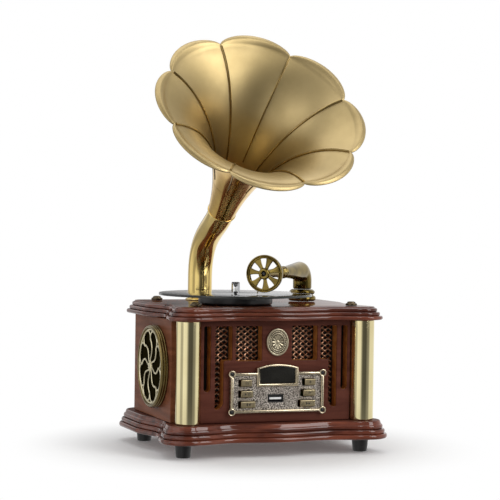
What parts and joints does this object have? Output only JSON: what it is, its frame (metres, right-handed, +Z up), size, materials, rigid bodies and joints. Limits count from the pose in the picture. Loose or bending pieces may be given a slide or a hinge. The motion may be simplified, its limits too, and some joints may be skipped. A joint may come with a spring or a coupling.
{
  "type": "retro record player",
  "caption": "Old-style record player: moulded wooden cabinet with a turning glass disc, a pivoting tone arm with a spoked sound wheel, and a turning brass horn.",
  "frame": {"origin": "bottom centre of the whole object, on the surface it stands on", "axes": "+Z is up, -Y is the front with the controls, +X is to the right as seen from the front"},
  "size_m": [0.2274, 0.2422, 0.3676],
  "materials": {
    "gloss_wood": "high-gloss red-brown mahogany lacquer",
    "satin_wood": "satin red-brown mahogany",
    "horn_brass": "satin antiqued brass-gold",
    "bright_brass": "polished brass",
    "dark_brass": "dark antique brass",
    "champagne": "pale satin champagne brass",
    "pewter": "hammered pewter",
    "copper_mesh": "woven copper mesh",
    "black_plastic": "satin black",
    "grille_cloth": "olive-black woven cloth",
    "clear_glass": "clear polished",
    "dark_glass": "near-black glossy",
    "circuit_board": "green circuit board",
    "socket_steel": "plain steel"
  },
  "bodies": {
    "cabinet": {"base_moulding": "gloss_wood", "foot_front_left": "black_plastic", "foot_front_right": "black_plastic", "foot_rear_left": "black_plastic", "foot_rear_right": "black_plastic", "front_panel": "satin_wood", "left_side_panel": "satin_wood", "right_side_panel": "satin_wood", "back_panel": "satin_wood", "left_pillar": "champagne", "right_pillar": "champagne", "left_front_net": "copper_mesh", "right_front_net": "copper_mesh", "left_grille_bezel": "dark_brass", "left_grille_rosette": "dark_brass", "left_grille_cloth": "grille_cloth", "left_speaker": "black_plastic", "right_grille_bezel": "dark_brass", "right_grille_rosette": "dark_brass", "right_grille_cloth": "grille_cloth", "right_speaker": "black_plastic", "control_plate": "pewter", "plate_frame": "champagne", "display_window": "dark_glass", "plate_screw_left_low": "black_plastic", "plate_screw_left_high": "black_plastic", "plate_screw_right_low": "black_plastic", "plate_screw_right_high": "black_plastic", "usb_socket": "socket_steel", "emblem_medallion": "pewter", "control_board": "circuit_board", "main_board": "circuit_board", "rear_jack_plate": "black_plastic", "dc_socket": "socket_steel", "top_slab": "gloss_wood", "table_cap_front_left": "dark_brass", "table_cap_front_right": "dark_brass", "table_cap_rear_left": "dark_brass", "table_cap_rear_right": "dark_brass", "turntable_motor": "socket_steel", "stem_flange": "bright_brass", "arm_base": "dark_brass"},
    "turntable": {"turntable_platter": "black_plastic", "turntable_disc": "clear_glass", "spindle_knob": "clear_glass"},
    "horn": {"horn_stem": "bright_brass", "horn_ring": "bright_brass", "horn_neck": "bright_brass", "horn_bell": "horn_brass"},
    "arm": {"tone_arm": "dark_brass", "arm_collar": "dark_brass"},
    "sound_box": {"sound_wheel": "dark_brass", "hub_screw": "black_plastic", "stylus": "dark_brass"},
    "button_left_1": {"button_left_1": "champagne"},
    "button_right_1": {"button_right_1": "champagne"},
    "button_left_2": {"button_left_2": "champagne"},
    "button_right_2": {"button_right_2": "champagne"},
    "button_left_3": {"button_left_3": "champagne"},
    "button_right_3": {"button_right_3": "champagne"}
  },
  "joints": [
    {"name": "turntable_spin", "type": "hinge", "parent": "cabinet", "child": "turntable", "pos_m": [-0.0156, 0.0153, 0.1295], "axis": [0, 0, 1], "continuous": true},
    {"name": "horn_turn", "type": "hinge", "parent": "cabinet", "child": "horn", "pos_m": [-0.0216, 0.0958, 0.1295], "axis": [0, 0, 1], "range_deg": [-60, 60]},
    {"name": "arm_swing", "type": "hinge", "parent": "cabinet", "child": "arm", "pos_m": [0.0707, 0.0693, 0.1579], "axis": [0, 0, 1], "range_deg": [-8, 28]},
    {"name": "sound_box_turn", "type": "hinge", "parent": "arm", "child": "sound_box", "pos_m": [0.00031, -0.01458, 0.1579], "axis": [0.6428, 0.766, 0], "range_deg": [0, 120]},
    {"name": "button_left_1_press", "type": "slide", "parent": "cabinet", "child": "button_left_1", "axis": [0, 1, 0], "range_m": [0, 0.0012], "stiffness_N_per_m": 400, "springref_m": -0.0008},
    {"name": "button_right_1_press", "type": "slide", "parent": "cabinet", "child": "button_right_1", "axis": [0, 1, 0], "range_m": [0, 0.0012], "stiffness_N_per_m": 400, "springref_m": -0.0008},
    {"name": "button_left_2_press", "type": "slide", "parent": "cabinet", "child": "button_left_2", "axis": [0, 1, 0], "range_m": [0, 0.0012], "stiffness_N_per_m": 400, "springref_m": -0.0008},
    {"name": "button_right_2_press", "type": "slide", "parent": "cabinet", "child": "button_right_2", "axis": [0, 1, 0], "range_m": [0, 0.0012], "stiffness_N_per_m": 400, "springref_m": -0.0008},
    {"name": "button_left_3_press", "type": "slide", "parent": "cabinet", "child": "button_left_3", "axis": [0, 1, 0], "range_m": [0, 0.0012], "stiffness_N_per_m": 400, "springref_m": -0.0008},
    {"name": "button_right_3_press", "type": "slide", "parent": "cabinet", "child": "button_right_3", "axis": [0, 1, 0], "range_m": [0, 0.0012], "stiffness_N_per_m": 400, "springref_m": -0.0008}
  ]
}
